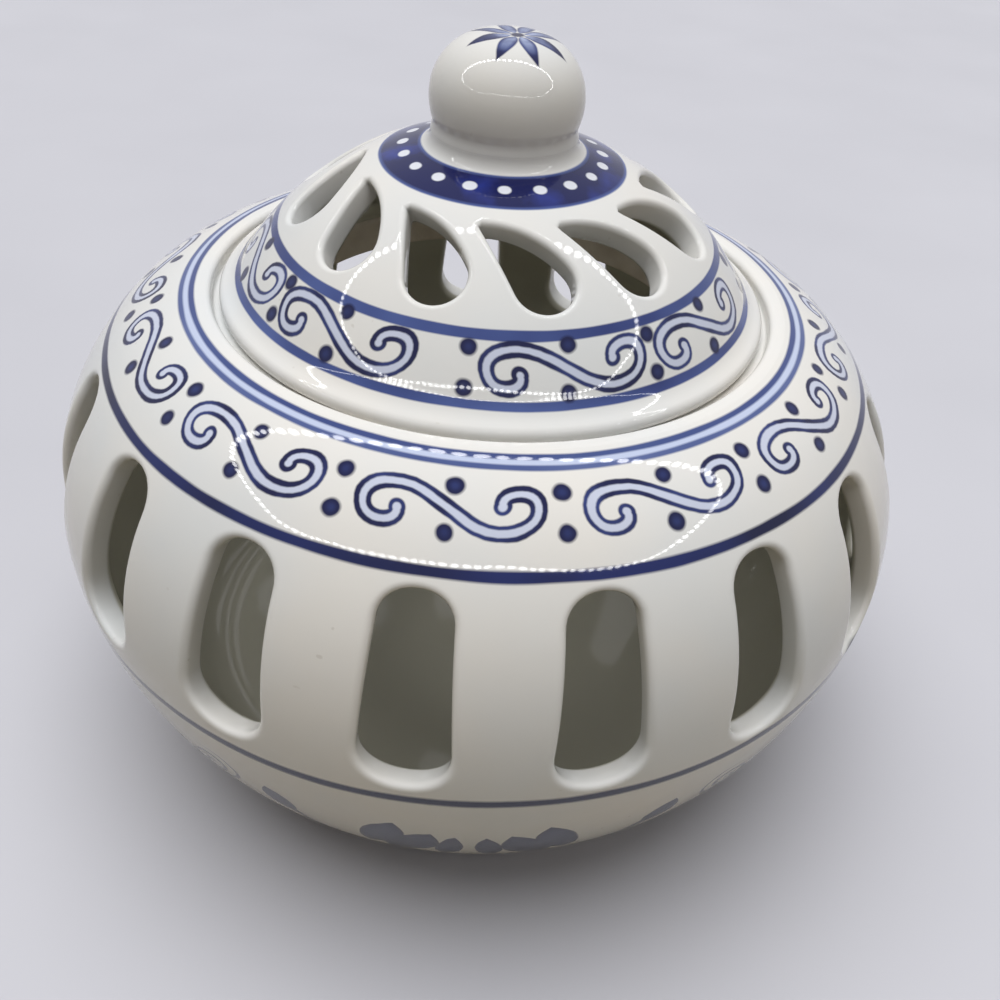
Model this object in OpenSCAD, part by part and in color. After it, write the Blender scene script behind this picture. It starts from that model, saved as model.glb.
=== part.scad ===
// Potpourri vase: a squat pierced porcelain bowl on a foot ring, with a domed
// pierced lid that drops into a gallery round the mouth. Millimetres, +Z up,
// the origin at the middle of the resting face, the front towards -Y.

/* [Bowl] */
// Outside radius of the bowl at its widest
belly_r = 66.6; // [60:0.1:74]
// Radius of the arc that the belly follows in section
belly_arc = 37; // [36:0.5:42]
// Height above the widest point where the belly turns into the shoulder
shoulder_rise = 27; // [25:0.5:29]
// Radius of the tighter arc from there to the lip
shoulder_arc = 26; // [24:0.5:30]
// Depth by which the belly's arc runs into the arcs above and below it
arc_blend = 0.01; // [0.005:0.005:0.03]
// Depth below the widest point where the belly turns into the fuller arc under it
lower_drop = 6; // [5.5:0.1:7]
// Radius of the fuller arc from there to the underside
lower_arc = 64; // [56:0.5:72]
// Thickness of the bowl's wall
bowl_wall = 4; // [3:0.1:5]
// Thickness of the bowl's floor
floor_t = 4; // [3:0.1:6]

/* [Mouth] */
// Radius of the mouth
mouth_r = 35; // [32:0.1:37]
// Width of the flat ledge that the lid rests on
ledge_w = 6.3; // [5:0.1:7]
// Thickness of the clay under the ledge
ledge_t = 4; // [3:0.1:6]
// Radius of the rounded top of the lip
lip_round = 1; // [0.6:0.1:1.4]
// Radius of the hollow where the ledge turns up into the lip
gutter_round = 1.1; // [0.6:0.1:1.4]

/* [Foot ring] */
// Height of the foot ring
foot_h = 5; // [4:0.1:6]
// Outside radius of the foot ring
foot_r = 47; // [43:0.1:49]
// Width of the flat underside left outside the foot ring
foot_set = 1.1; // [0.3:0.1:2]
// Width of the foot ring
foot_w = 5; // [4:0.1:7]
// Rounding of the two edges that meet the table
foot_round = 1.2; // [0.5:0.1:1.6]

/* [Slots] */
// Number of slots round the belly
slot_n = 17; // [12:1:19]
// Turn of the first slot from the front, in degrees
slot_turn = -4.4; // [-20:0.1:20]
// Drop from the turn of the shoulder to the top of a slot
slot_drop = 4.2; // [3.8:0.1:6]
// Height of a slot
slot_h = 25.5; // [20:0.5:28]
// Width of a slot at its top
slot_top_w = 9.4; // [6:0.1:10]
// Width of a slot at its bottom
slot_bottom_w = 11.9; // [8:0.1:13]

/* [Lid] */
// Radius of the dome in section
dome_arc = 44.7; // [42:0.1:50]
// Thickness of the dome
lid_wall = 4; // [3:0.1:5]
// Gap between the lid's rim and the turn of the gutter
rim_gap = 1; // [0.6:0.1:1.6]
// Radius of the rounded edge of the rim
rim_round = 1.3; // [1:0.1:1.6]
// Thickness of the flat ring inside the rim
lid_base_t = 2.5; // [2:0.1:4]

/* [Lid flange] */
// Gap between the flange and the mouth, all round
flange_gap = 0.6; // [0.4:0.1:1]
// Thickness of the flange
flange_t = 3; // [2:0.1:4]
// Depth of the flange below the ledge
flange_h = 6; // [4:0.5:9]

/* [Drops] */
// Number of drop-shaped piercings round the dome
drop_n = 12; // [8:1:12]
// Turn of the first drop from the front, in degrees
drop_turn = 15.5; // [0:0.5:29]
// Angle from the axis to the middle of a drop's round end
drop_tilt = 36.6; // [34:0.1:40]
// Radius of a drop's round end
drop_r = 4.8; // [4:0.1:5.6]
// Distance from the middle of the round end to the tip
drop_len = 13; // [10:0.1:14]
// Radius of the bulging side of a drop
drop_bulge = 17; // [12:0.5:20]
// Depth by which a drop's sides run into its round end
drop_blend = 0.4; // [0.3:0.1:0.6]
// Lean of a drop from the meridian, in degrees
drop_slant = 38; // [30:1:50]

/* [Collar and knob] */
// Radius of the collar under the knob
collar_r = 11.2; // [10.8:0.1:13]
// Height of the collar above the top of the dome
collar_rise = 0.4; // [0.2:0.1:2]
// Rounding of the collar's edge
collar_round = 1.5; // [0.5:0.1:1.5]
// Swell of the knob past the flat top of the collar
knob_swell = 0.9; // [0.4:0.1:2]
// Height of the knob's widest point above the collar
knob_belly_h = 4.8; // [3:0.1:6]
// Radius of the knob's rounded crown
knob_crown = 8; // [6:0.1:9.5]

/* [Hidden] */
$fn = 96;

// Reach of cuts past the faces that they break through
over = 10;
// Turn from +X to the front
front = -90;

// Section of the bowl: a full arc springs from the edge of the flat underside,
// and runs smoothly into the belly's arc, and that into the shoulder's
base_r = foot_r + foot_set;
belly_in = belly_r - belly_arc;
lower_share = (lower_arc + arc_blend - belly_arc) / belly_arc;
lower_c_r = belly_in - lower_share * sqrt(pow(belly_arc, 2) - pow(lower_drop, 2));
belly_z = foot_h + sqrt(pow(lower_arc, 2) - pow(base_r - lower_c_r, 2)) - lower_share * lower_drop;
belly_c = [belly_in, belly_z];
lower_z = belly_z - lower_drop;
lower_c = [lower_c_r, belly_z + lower_share * lower_drop];
shoulder_z = belly_z + shoulder_rise;
shoulder_p = [belly_in + sqrt(pow(belly_arc, 2) - pow(shoulder_rise, 2)), shoulder_z];
shoulder_c = shoulder_p + (belly_c - shoulder_p) * (shoulder_arc - arc_blend) / belly_arc;
inside_z = foot_h + floor_t;

// Lip, gutter and ledge at the mouth
ledge_r = mouth_r + ledge_w;
lip_c_r = ledge_r + gutter_round + lip_round;
lip_c_z = shoulder_c.y + sqrt(pow(shoulder_arc - lip_round, 2) - pow(lip_c_r - shoulder_c.x, 2));
ledge_z = lip_c_z - gutter_round;
cavity_top = ledge_z - ledge_t;

// Lid on the ledge: the rim's rounded edge lies on the dome's own arc
rim_r = ledge_r - rim_gap;
rim_c = [rim_r - rim_round, ledge_z + rim_round];
dome_z = rim_c.y - sqrt(pow(dome_arc, 2) - pow(rim_c.x, 2));
dome_c = [0, dome_z];
flange_r = mouth_r - flange_gap;
flange_in_r = flange_r - flange_t;
seat_z = dome_z + dome_arc + collar_rise;

// Arc of the knob's flank, from the flat top of the collar to its widest point
knob_r = collar_r - collar_round + knob_swell;
flank_arc = (pow(knob_belly_h, 2) + pow(knob_swell, 2)) / (2 * knob_swell);
knob_belly_z = seat_z + knob_belly_h;
knob_top = knob_belly_z + knob_crown;

// A circle in section, given by its middle
module disc(middle, radius) {
    translate(middle) circle(r = radius);
}

// A rectangle in section, given by two corners
module block(low, high) {
    translate(low) square(high - low);
}

// Half section of the round bowl, all solid, drawn in by an inset: the belly's
// disc up to the turn of the shoulder, the shoulder's disc across it, and the
// fuller disc below
module bowl_half(inset) {
    far = belly_c + 2 * (shoulder_p - belly_c);
    intersection() {
        disc(belly_c, belly_arc - inset);
        polygon([belly_c, far, [far.x, 0], [0, 0], [0, belly_z]]);
    }
    intersection() {
        disc(shoulder_c, shoulder_arc - inset);
        block([0, 0], far);
    }
    intersection() {
        disc(lower_c, lower_arc - inset);
        block([0, 0], [belly_r, lower_z]);
    }
}

// Section of the space above the ledge, with the gutter and the rounded lip
module gallery_section() {
    top = ledge_z + over;
    block([0, ledge_z], [ledge_r, top]);
    block([0, lip_c_z], [ledge_r + gutter_round, top]);
    disc([ledge_r, lip_c_z], gutter_round);
    difference() {
        block([0, lip_c_z], [lip_c_r, top]);
        disc([lip_c_r, lip_c_z], lip_round);
    }
}

// One slot's outline: a tall opening with round ends, wider at the bottom
module slot_outline() {
    top_r = slot_top_w / 2;
    bottom_r = slot_bottom_w / 2;
    top_z = shoulder_z - slot_drop - top_r;
    bottom_z = shoulder_z - slot_drop - slot_h + bottom_r;
    disc([0, top_z], top_r);
    disc([0, bottom_z], bottom_r);
    polygon([[-top_r, top_z], [top_r, top_z], [bottom_r, bottom_z], [-bottom_r, bottom_z]]);
}

// One drop's outline, its round end at the origin and its tip up: a straight
// side on the left, and on the right an arc that runs on into the round end
module drop_outline() {
    tip = [0, drop_len];
    side_turn = acos(drop_r / drop_len);
    side_p = (drop_r - drop_blend) * [-sin(side_turn), cos(side_turn)];
    bulge_off = drop_bulge - drop_r + drop_blend;
    bulge_sin = (pow(drop_bulge, 2) - pow(bulge_off, 2) - pow(drop_len, 2)) / (2 * bulge_off * drop_len);
    bulge_dir = [cos(asin(bulge_sin)), bulge_sin];
    join_p = (drop_r - drop_blend) * bulge_dir;
    disc([0, 0], drop_r);
    intersection() {
        disc(-bulge_off * bulge_dir, drop_bulge);
        polygon([tip, side_p, [0, 0], join_p, [drop_bulge, join_p.y], [drop_bulge, drop_len]]);
    }
}

// The round bowl with its gallery and its ring of slots, open at the mouth
module bowl() {
    color("whitesmoke") difference() {
        rotate_extrude() difference() {
            intersection() {
                union() {
                    bowl_half(0);
                    block([0, foot_h], [belly_in, belly_z]);
                }
                block([0, foot_h], [belly_r + over, ledge_z + over]);
            }
            intersection() {
                union() {
                    bowl_half(bowl_wall);
                    block([0, inside_z], [belly_in, cavity_top]);
                }
                block([0, inside_z], [belly_r, cavity_top]);
            }
            block([0, cavity_top - over], [mouth_r, ledge_z + over]);
            gallery_section();
        }
        for (i = [0 : slot_n - 1]) {
            rotate(front + slot_turn + i * 360 / slot_n)
                rotate([90, 0, 90])
                    translate([0, 0, mouth_r]) linear_extrude(belly_r + over - mouth_r) slot_outline();
        }
    }
}

// The ring that the bowl stands on, stuck to its flat underside
module foot_ring() {
    in_r = foot_r - foot_w;
    color("gainsboro") rotate_extrude() {
        block([in_r, foot_round], [foot_r, foot_h]);
        block([in_r + foot_round, 0], [foot_r - foot_round, foot_h]);
        disc([in_r + foot_round, foot_round], foot_round);
        disc([foot_r - foot_round, foot_round], foot_round);
    }
}

// The pierced dome with its rounded rim, and the collar that carries the knob
module lid() {
    color("whitesmoke") difference() {
        rotate_extrude() difference() {
            union() {
                intersection() {
                    disc(dome_c, dome_arc);
                    block([0, rim_c.y], [dome_arc, dome_z + dome_arc]);
                }
                block([0, ledge_z], rim_c);
                disc(rim_c, rim_round);
                block([0, seat_z - lid_wall], [collar_r, seat_z - collar_round]);
                block([0, seat_z - lid_wall], [collar_r - collar_round, seat_z]);
                disc([collar_r - collar_round, seat_z - collar_round], collar_round);
            }
            intersection() {
                disc(dome_c, dome_arc - lid_wall);
                block([0, ledge_z + lid_base_t], [dome_arc, dome_z + dome_arc]);
            }
            block([0, ledge_z], [flange_in_r, ledge_z + lid_base_t]);
        }
        for (i = [0 : drop_n - 1]) {
            translate([0, 0, dome_z]) rotate(front + drop_turn + i * 360 / drop_n)
                rotate([0, drop_tilt, 0])
                    translate([0, 0, dome_arc - lid_wall - over])
                        linear_extrude(lid_wall + 2 * over) rotate(90 + drop_slant) drop_outline();
        }
    }
}

// The ring under the lid that keeps it central in the mouth
module lid_flange() {
    color("gainsboro") rotate_extrude()
        block([flange_in_r, ledge_z - flange_h], [flange_r, ledge_z]);
}

// The solid knob, stuck to the flat top of the collar
module knob() {
    color("white") rotate_extrude() {
        intersection() {
            disc([knob_r - knob_crown, knob_belly_z], knob_crown);
            block([0, knob_belly_z], [knob_r, knob_top]);
        }
        block([0, seat_z], [knob_r - knob_crown, knob_top]);
        intersection() {
            disc([knob_r - flank_arc, knob_belly_z], flank_arc);
            block([0, seat_z], [knob_r, knob_belly_z]);
        }
    }
}

bowl();
foot_ring();
lid();
lid_flange();
knob();
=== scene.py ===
import math

import bmesh
import bpy
import numpy as np
from mathutils import Matrix


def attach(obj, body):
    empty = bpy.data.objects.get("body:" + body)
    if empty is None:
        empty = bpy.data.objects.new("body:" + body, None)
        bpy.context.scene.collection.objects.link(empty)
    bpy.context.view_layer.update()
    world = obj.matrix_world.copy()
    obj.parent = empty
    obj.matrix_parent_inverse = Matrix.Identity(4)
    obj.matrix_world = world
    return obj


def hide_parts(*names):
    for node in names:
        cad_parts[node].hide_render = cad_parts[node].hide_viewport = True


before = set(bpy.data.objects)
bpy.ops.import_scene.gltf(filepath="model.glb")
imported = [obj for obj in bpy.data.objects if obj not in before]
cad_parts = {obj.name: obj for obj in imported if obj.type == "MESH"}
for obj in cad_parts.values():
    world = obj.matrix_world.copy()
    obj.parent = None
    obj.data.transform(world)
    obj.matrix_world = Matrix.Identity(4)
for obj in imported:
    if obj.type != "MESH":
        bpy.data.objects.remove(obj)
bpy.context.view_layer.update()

# Bowl
# The squat round jar, cast in porcelain and pierced with a ring of tall slots while the clay was leather
# hard. It is painted in cobalt with lines, scrolls, dots and leaves, then dipped in a clear glossy glaze
# that rounds every cut edge.
MM = 0.001
BELLY_R = 66.6
BELLY_ARC = 37.0
LOWER_DROP = 6.0
LOWER_ARC = 64.0
UNDER_R = 48.1
FOOT_H = 5.0
TURN_RISE = 27.0
SHOULDER_ARC = 26.0
BOWL_WALL = 4.0
FLOOR_Z = 9.0
LIP_R = 43.4
LIP_ROUND = 1.0
LIP_GLAZE = 1.0
GUTTER_ROUND = 1.1
GUTTER_HOLLOW = 0.4
LEDGE_T = 4.0
MOUTH_R = 35.0
MOUTH_ROUND = 0.8
UNDER_ROUND = 0.8
LEDGE_HOLLOW = 3.0
FLOOR_HOLLOW = 8.0
SLOTS = 17
SLOT_TURN = -4.4
SLOT_TOP = 5.3
SLOT_LOW = 32.4
SLOT_HALF_TOP = 4.6
SLOT_HALF_LOW = 5.8
SLOT_CAP_TOP = 4.6
SLOT_CAP_LOW = 5.6
SLOT_SQUARE = 2.15
SLOT_EASE = 1.6
SLOT_BAND = (2.0, 35.6)
SLOT_SOFT_OUT = 1.2
SLOT_SOFT_IN = 1.0
ACROSS = 16
DOWN = 26
EASE_POINTS = 720
WELD = 0.02

bowl_turn = math.asin(TURN_RISE / BELLY_ARC)
turn_way = np.array([math.cos(bowl_turn), math.sin(bowl_turn)])
lower_turn = -math.asin(LOWER_DROP / BELLY_ARC)
lower_way = np.array([math.cos(lower_turn), math.sin(lower_turn)])
lower_v = (bowl_turn - lower_turn) * BELLY_ARC
belly_c = np.array([BELLY_R - BELLY_ARC, 0.0])
lower_c = belly_c - (LOWER_ARC - BELLY_ARC) * lower_way
rise = FOOT_H + math.sqrt(LOWER_ARC ** 2 - (UNDER_R - lower_c[0]) ** 2) - lower_c[1]
belly_c[1] += rise
lower_c[1] += rise
shoulder_c = belly_c + (BELLY_ARC - SHOULDER_ARC) * turn_way
lip_z = shoulder_c[1] + math.sqrt((SHOULDER_ARC - LIP_ROUND) ** 2 - (LIP_R - shoulder_c[0]) ** 2)
lip_angle = math.atan2(lip_z - shoulder_c[1], LIP_R - shoulder_c[0])
ledge_z = lip_z - GUTTER_ROUND


def arc(middle, radius, start, end, count):
    """Points (r, z) on an arc of a section, from one angle to another in degrees."""
    turn = np.radians(np.linspace(start, end, count))
    return np.stack([middle[0] + radius * np.cos(turn), middle[1] + radius * np.sin(turn)], -1)


def straight(start, end, count):
    """Points (r, z) on a straight stretch of a section."""
    return np.linspace(np.array(start, float), np.array(end, float), count)


def bowl_section(v, depth):
    """Points (r, z) of the wall, v mm down the outside from the shoulder's turn, depth mm into the clay."""
    v = np.atleast_1d(np.asarray(v, float))
    stretch = np.where(v < 0, 0, np.where(v < lower_v, 1, 2))
    radius = np.array([SHOULDER_ARC, BELLY_ARC, LOWER_ARC])[stretch]
    middle = np.stack([shoulder_c, belly_c, lower_c])[stretch]
    first = np.array([bowl_turn, bowl_turn, lower_turn])[stretch]
    angle = first - (v - np.where(stretch == 2, lower_v, 0)) / radius
    return middle + (radius - depth)[:, None] * np.stack([np.cos(angle), np.sin(angle)], -1)


def set_round(section, theta):
    """Points in metres from points (r, z) in mm, at theta radians from the front towards +X."""
    section = section * MM
    return np.stack([section[:, 0] * np.sin(theta), -section[:, 0] * np.cos(theta), section[:, 1]], -1)


def on_bowl(theta, v, depth):
    """Points in metres on the bowl's wall."""
    return set_round(bowl_section(v, depth), theta)


def turned(section, columns, first=0.0):
    """Vertices and faces of a section turned about the axis, with its poles closed."""
    theta = math.radians(first) + 2 * math.pi * np.arange(columns) / columns
    verts = []
    rows = []
    for r, z in section:
        at = len(verts)
        if r < 1e-6:
            rows.append([at] * columns)
            verts.append((0.0, 0.0, z * MM))
            continue
        rows.append(list(range(at, at + columns)))
        verts.extend(zip(r * MM * np.sin(theta), -r * MM * np.cos(theta), [z * MM] * columns))
    faces = []
    for low, high in zip(rows, rows[1:]):
        for k in range(columns):
            j = (k + 1) % columns
            faces.append(tuple(dict.fromkeys((low[k], low[j], high[j], high[k]))))
    return verts, faces


def mesh_object(name, *lots):
    """An object at the origin, made of lots of vertices and faces."""
    verts = []
    faces = []
    for more, quads in lots:
        at = len(verts)
        verts.extend(tuple(float(c) for c in p) for p in more)
        faces.extend(tuple(at + i for i in f) for f in quads)
    mesh = bpy.data.meshes.new(name)
    mesh.from_pydata(verts, [], faces)
    piece = bpy.data.objects.new(name, mesh)
    bpy.context.scene.collection.objects.link(piece)
    return piece


def closed_up(piece):
    """Welds a piece's seams, turns its faces outwards and smooths its shading."""
    work = bmesh.new()
    work.from_mesh(piece.data)
    bmesh.ops.remove_doubles(work, verts=work.verts, dist=WELD * MM)
    bmesh.ops.recalc_face_normals(work, faces=work.faces)
    if work.calc_volume(signed=True) < 0:
        bmesh.ops.reverse_faces(work, faces=work.faces)
    work.to_mesh(piece.data)
    work.free()
    piece.data.shade_smooth()


def eased(outline, spread, radius):
    """A closed outline (theta, v) at even steps, its corners eased over a spread in mm."""
    loop = np.vstack([outline, outline[:1]])
    step = np.hypot(np.diff(loop[:, 0]) * radius(loop[:-1, 1]), np.diff(loop[:, 1]))
    along = np.concatenate([[0.0], np.cumsum(step)])
    want = np.linspace(0, along[-1], EASE_POINTS, endpoint=False)
    even = np.stack([np.interp(want, along, loop[:, k]) for k in (0, 1)], -1)
    half = max(1, round(spread / along[-1] * EASE_POINTS / 2))
    brush = np.hanning(2 * half + 3)[1:-1]
    brush /= brush.sum()
    wide = np.vstack([even[-half:], even, even[:half]])
    return np.stack([np.convolve(wide[:, k], brush, "valid") for k in (0, 1)], -1)


def pierced_panel(place, outline, lean, half, band, wall, arc_r, soft_out, soft_in, across, down, top_side):
    """One sector of a pierced wall, as rings of quads that run from its border on the outside over the
    glazed edge of the opening, through the wall with its sides cut square, and out to its border on the
    inside. The outline goes clockwise, and at least top_side mm of it answers to the top of the border."""
    def radius(v):
        return np.hypot(*place(np.zeros(len(v)), v, 0.0)[:, :2].T) / MM

    tall = (band[1] - band[0]) / 2
    middle_v = outline[:, 1].mean()
    flat_x = (outline[:, 0] - lean(outline[:, 1])) / half
    flat_y = (outline[:, 1] - band[0]) / tall - 1
    corners = [int(np.argmax(a * flat_x + b * flat_y)) for a, b in ((-1, -1), (1, -1), (1, 1), (-1, 1))]
    rim = np.diff(np.vstack([outline, outline[:1]]), axis=0)
    rim = np.hypot(rim[:, 0] * radius(outline[:, 1]), rim[:, 1]).sum()
    short = round(top_side / rim * len(outline)) - (corners[1] - corners[0]) % len(outline)
    if short > 0:
        corners[0] -= short // 2
        corners[1] += short - short // 2
    loop = np.roll(outline, -corners[0], axis=0)
    stops = [(c - corners[0]) % len(outline) for c in corners] + [len(outline)]
    loop = np.vstack([loop, loop[:1]])
    ring = []
    for start, end, count in zip(stops, stops[1:], (across, down, across, down)):
        side = loop[start:end + 1]
        step = np.hypot(np.diff(side[:, 0]) * radius(side[:-1, 1]), np.diff(side[:, 1]))
        along = np.concatenate([[0.0], np.cumsum(step)])
        want = np.linspace(0, along[-1], count, endpoint=False)
        ring.append(np.stack([np.interp(want, along, side[:, k]) for k in (0, 1)], -1))
    ring = np.vstack(ring)
    wide = radius(ring[:, 1])
    way = np.roll(ring, -1, axis=0) - np.roll(ring, 1, axis=0)
    way[:, 0] *= wide
    way /= np.linalg.norm(way, axis=1)[:, None]
    evenly = np.linspace(-1, 1, across + 1)[:-1]
    falling = np.linspace(band[0], band[1], down + 1)[:-1]
    rising = np.linspace(band[1], band[0], down + 1)[:-1]
    border_a = half * np.concatenate([evenly, np.ones(down), -evenly, -np.ones(down)])
    border_v = np.concatenate([np.full(across, band[0]), falling, np.full(across, band[1]), rising])

    def edge(offset, depth):
        v = ring[:, 1] - way[:, 0] * offset
        theta = ring[:, 0] + way[:, 1] * offset / wide
        reach = arc_r / (arc_r - depth)
        v = middle_v + (v - middle_v) * reach
        return theta * reach - lean(v), v, depth

    def spread(share, offset, depth):
        a, v, _ = edge(offset, depth)
        return a + (border_a - a) * share, v + (border_v - v) * share, depth

    bends = np.radians(np.linspace(0, 90, 7))
    rings = [spread(share, soft_out, 0.0) for share in (1, 0.74, 0.5, 0.3, 0.15, 0.05)]
    rings += [edge(soft_out * (1 - math.sin(b)), soft_out * (1 - math.cos(b))) for b in bends]
    rings += [edge(0.0, wall / 2)]
    rings += [edge(soft_in * (1 - math.sin(b)), wall - soft_in * (1 - math.cos(b))) for b in bends[::-1]]
    rings += [spread(share, soft_in, wall) for share in (0.05, 0.2, 0.45, 0.72, 1)]
    verts = np.vstack([place(a + lean(v), v, d) for a, v, d in rings])
    count = len(ring)
    faces = []
    for row in range(len(rings) - 1):
        for k in range(count):
            j = (k + 1) % count
            faces.append((row * count + k, row * count + j, (row + 1) * count + j, (row + 1) * count + k))
    return verts, faces


def ring_tree():
    """Geometry nodes that set a panel round the axis, join the rest of its wall and weld the seams."""
    tree = bpy.data.node_groups.new("ring of pierced panels", "GeometryNodeTree")
    face = tree.interface
    face.new_socket(name="Panel", in_out="INPUT", socket_type="NodeSocketGeometry")
    face.new_socket(name="Rest of the wall", in_out="INPUT", socket_type="NodeSocketObject")
    face.new_socket(name="Panels", in_out="INPUT", socket_type="NodeSocketInt")
    face.new_socket(name="First turn", in_out="INPUT", socket_type="NodeSocketFloat")
    face.new_socket(name="Weld distance", in_out="INPUT", socket_type="NodeSocketFloat")
    face.new_socket(name="Glaze", in_out="INPUT", socket_type="NodeSocketMaterial")
    face.new_socket(name="Wall", in_out="OUTPUT", socket_type="NodeSocketGeometry")
    made = {}
    for name, kind in (
        ("given", "NodeGroupInput"), ("line", "GeometryNodeMeshLine"),
        ("count", "GeometryNodeInputIndex"), ("pitch", "ShaderNodeMath"), ("turn", "ShaderNodeMath"),
        ("spin", "FunctionNodeAxisAngleToRotation"), ("set", "GeometryNodeInstanceOnPoints"),
        ("real", "GeometryNodeRealizeInstances"),
        ("rest", "GeometryNodeObjectInfo"), ("join", "GeometryNodeJoinGeometry"),
        ("weld", "GeometryNodeMergeByDistance"), ("glaze", "GeometryNodeSetMaterial"),
        ("result", "NodeGroupOutput"),
    ):
        made[name] = tree.nodes.new(kind)
    made["pitch"].operation = "DIVIDE"
    made["pitch"].inputs[0].default_value = 2 * math.pi
    made["turn"].operation = "MULTIPLY_ADD"
    made["line"].inputs["Offset"].default_value = (0, 0, 0)
    made["spin"].inputs["Axis"].default_value = (0, 0, 1)
    for start, out, end, into in (
        ("given", "Panels", "line", "Count"), ("given", "Panels", "pitch", 1), ("count", 0, "turn", 0),
        ("pitch", 0, "turn", 1), ("given", "First turn", "turn", 2), ("turn", 0, "spin", "Angle"),
        ("line", 0, "set", "Points"), ("given", "Panel", "set", "Instance"), ("spin", 0, "set", "Rotation"),
        ("set", 0, "real", 0), ("given", "Rest of the wall", "rest", "Object"), ("real", 0, "join", 0),
        ("rest", "Geometry", "join", 0), ("join", 0, "weld", 0),
        ("given", "Weld distance", "weld", "Distance"),
        ("weld", 0, "glaze", 0), ("given", "Glaze", "glaze", "Material"), ("glaze", 0, "result", 0),
    ):
        tree.links.new(made[start].outputs[out], made[end].inputs[into])
    return tree


def pierced_wall(name, panel, rest, panels, first, glaze):
    """A whole pierced wall as a plain mesh: one panel set round the axis and welded to the turned rest."""
    piece = mesh_object(name, panel)
    other = mesh_object(name + " rest", *rest)
    worker = piece.modifiers.new("ring", "NODES")
    worker.node_group = ring_tree()
    values = {
        "Rest of the wall": other, "Panels": panels, "First turn": math.radians(first),
        "Weld distance": WELD * MM, "Glaze": glaze,
    }
    for item in worker.node_group.interface.items_tree:
        if item.name in values:
            worker[item.identifier] = values[item.name]
    bpy.context.view_layer.update()
    seen = piece.evaluated_get(bpy.context.evaluated_depsgraph_get())
    mesh = bpy.data.meshes.new_from_object(seen)
    piece.modifiers.clear()
    piece.data = mesh
    bpy.data.objects.remove(other)
    closed_up(piece)
    return piece


def bowl_radius(v):
    """The bowl's outside radius in mm, v mm down its wall."""
    return bowl_section(v, 0.0)[:, 0]


def slot_outline():
    """The outline of one slot as (theta, v): square-shouldered round ends and slightly spreading sides."""
    turn = np.linspace(0, math.pi, 120)
    swing = -np.sign(np.cos(turn)) * np.abs(np.cos(turn)) ** (2 / SLOT_SQUARE)
    rise = 1 - np.sin(turn).clip(0) ** (2 / SLOT_SQUARE)
    top = np.stack([SLOT_HALF_TOP * swing, SLOT_TOP + SLOT_CAP_TOP * rise], -1)
    low = np.stack([-SLOT_HALF_LOW * swing, SLOT_LOW - SLOT_CAP_LOW * rise], -1)
    right = straight(top[-1], low[0], 60)[1:-1]
    left = straight(low[-1], top[0], 60)[1:-1]
    outline = np.vstack([top, right, low, left])
    outline[:, 0] /= bowl_radius(outline[:, 1])
    return eased(outline, SLOT_EASE, bowl_radius)


lip_c = (LIP_R, lip_z)
lip_in_r = LIP_R - LIP_GLAZE - LIP_ROUND
mouth_top_c = (MOUTH_R + MOUTH_ROUND, ledge_z - MOUTH_ROUND)
mouth_low_c = (MOUTH_R + MOUTH_ROUND, ledge_z - LEDGE_T + MOUTH_ROUND)
hollow_z = ledge_z - LEDGE_T - LEDGE_HOLLOW
hollow_reach = SHOULDER_ARC - BOWL_WALL - LEDGE_HOLLOW
hollow_r = shoulder_c[0] + math.sqrt(hollow_reach ** 2 - (hollow_z - shoulder_c[1]) ** 2)
hollow_angle = math.atan2(hollow_z - shoulder_c[1], hollow_r - shoulder_c[0])
bowl_top = np.vstack([
    bowl_section(np.linspace(SLOT_BAND[0], (bowl_turn - lip_angle) * SHOULDER_ARC, 20), 0.0),
    arc(lip_c, LIP_ROUND, math.degrees(lip_angle), 90, 6)[1:],
    arc((LIP_R - LIP_GLAZE, lip_z), LIP_ROUND, 90, 180, 10),
    arc((lip_in_r - GUTTER_HOLLOW, ledge_z + GUTTER_HOLLOW), GUTTER_HOLLOW, 0, -90, 5),
    straight((lip_in_r - GUTTER_HOLLOW, ledge_z), (mouth_top_c[0], ledge_z), 5)[1:],
    arc(mouth_top_c, MOUTH_ROUND, 90, 180, 6)[1:],
    arc(mouth_low_c, MOUTH_ROUND, 180, 270, 6),
    straight((mouth_low_c[0], ledge_z - LEDGE_T), (hollow_r, ledge_z - LEDGE_T), 6)[1:],
    arc((hollow_r, hollow_z), LEDGE_HOLLOW, 90, math.degrees(hollow_angle), 6)[1:],
    bowl_section(np.linspace((bowl_turn - hollow_angle) * SHOULDER_ARC, SLOT_BAND[0], 9), BOWL_WALL)[1:],
])
under_reach = LOWER_ARC - UNDER_ROUND
under_drop = lower_c[1] - FOOT_H - UNDER_ROUND
under_c = (lower_c[0] + math.sqrt(under_reach ** 2 - under_drop ** 2), FOOT_H + UNDER_ROUND)
under_angle = math.atan2(-under_drop, under_c[0] - lower_c[0])
under_edge_v = lower_v + (lower_turn - under_angle) * LOWER_ARC
bowl_under = np.vstack([
    bowl_section(np.linspace(SLOT_BAND[1], under_edge_v, 32), 0.0),
    arc(under_c, UNDER_ROUND, math.degrees(under_angle), -90, 5)[1:],
    straight((under_c[0], FOOT_H), (0.0, FOOT_H), 9)[1:],
])
floor_reach = LOWER_ARC - BOWL_WALL - FLOOR_HOLLOW
floor_drop = lower_c[1] - FLOOR_Z - FLOOR_HOLLOW
floor_c = (lower_c[0] + math.sqrt(floor_reach ** 2 - floor_drop ** 2), FLOOR_Z + FLOOR_HOLLOW)
floor_angle = math.atan2(-floor_drop, floor_c[0] - lower_c[0])
floor_edge_v = lower_v + (lower_turn - floor_angle) * LOWER_ARC
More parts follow.
